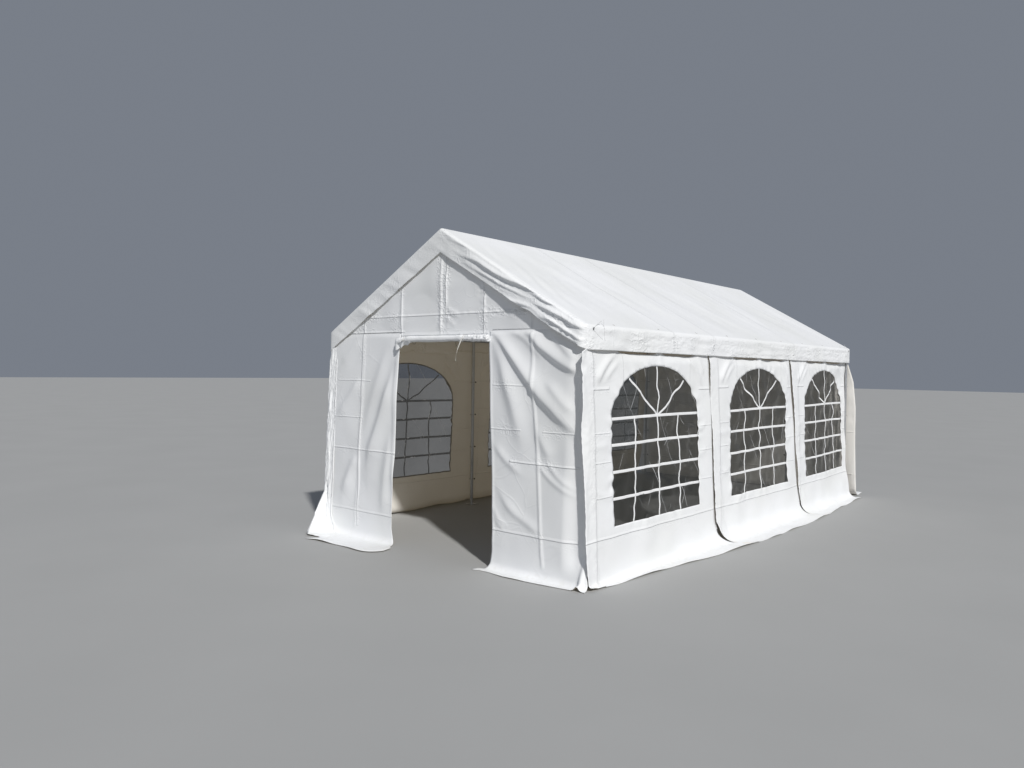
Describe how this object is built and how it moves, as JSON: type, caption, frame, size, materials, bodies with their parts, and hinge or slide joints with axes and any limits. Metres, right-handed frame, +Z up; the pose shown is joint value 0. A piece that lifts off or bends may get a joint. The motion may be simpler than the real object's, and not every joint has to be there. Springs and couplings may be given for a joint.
{
  "type": "marquee tent",
  "caption": "White gable marquee tent of PVC fabric on a steel tube frame, with arched windows in the long sides and a rolled-up door in the front gable.",
  "frame": {"origin": "on the ground under the middle of the tent", "axes": "+Z up, +Y along the ridge from the front gable with the doorway to the back gable, +X to the right long side"},
  "size_m": [3.7216, 6.8082, 2.799],
  "materials": {
    "roof_fabric": "satin coated PVC",
    "wall_fabric": "satin coated PVC",
    "window_film": "clear flexible film with creases",
    "door_cloth": "rolled coated PVC",
    "tie_ribbon": "woven ribbon",
    "steel_frame": "galvanised, slightly dull"
  },
  "bodies": {
    "root": {"back_wall": "wall_fabric", "door_roll": "door_cloth", "door_tie": "tie_ribbon", "eave_tube_left_back": "steel_frame", "eave_tube_left_front": "steel_frame", "eave_tube_left_middle": "steel_frame", "eave_tube_right_back": "steel_frame", "eave_tube_right_front": "steel_frame", "eave_tube_right_middle": "steel_frame", "front_gable": "wall_fabric", "front_wall_left": "wall_fabric", "front_wall_right": "wall_fabric", "post_left_back": "steel_frame", "post_left_front": "steel_frame", "post_left_mid_back": "steel_frame", "post_left_mid_front": "steel_frame", "post_right_back": "steel_frame", "post_right_front": "steel_frame", "post_right_mid_back": "steel_frame", "post_right_mid_front": "steel_frame", "rafter_left_back": "steel_frame", "rafter_left_front": "steel_frame", "rafter_left_mid_back": "steel_frame", "rafter_left_mid_front": "steel_frame", "rafter_right_back": "steel_frame", "rafter_right_front": "steel_frame", "rafter_right_mid_back": "steel_frame", "rafter_right_mid_front": "steel_frame", "ridge_connector_back": "steel_frame", "ridge_connector_front": "steel_frame", "ridge_connector_mid_back": "steel_frame", "ridge_connector_mid_front": "steel_frame", "ridge_tube_back": "steel_frame", "ridge_tube_front": "steel_frame", "ridge_tube_middle": "steel_frame", "roof_cover": "roof_fabric", "wall_left_back": "wall_fabric", "wall_left_front": "wall_fabric", "wall_left_middle": "wall_fabric", "wall_right_back": "wall_fabric", "wall_right_front": "wall_fabric", "wall_right_middle": "wall_fabric", "window_left_back": "window_film", "window_left_front": "window_film", "window_left_middle": "window_film", "window_right_back": "window_film", "window_right_front": "window_film", "window_right_middle": "window_film"}
  },
  "joints": []
}
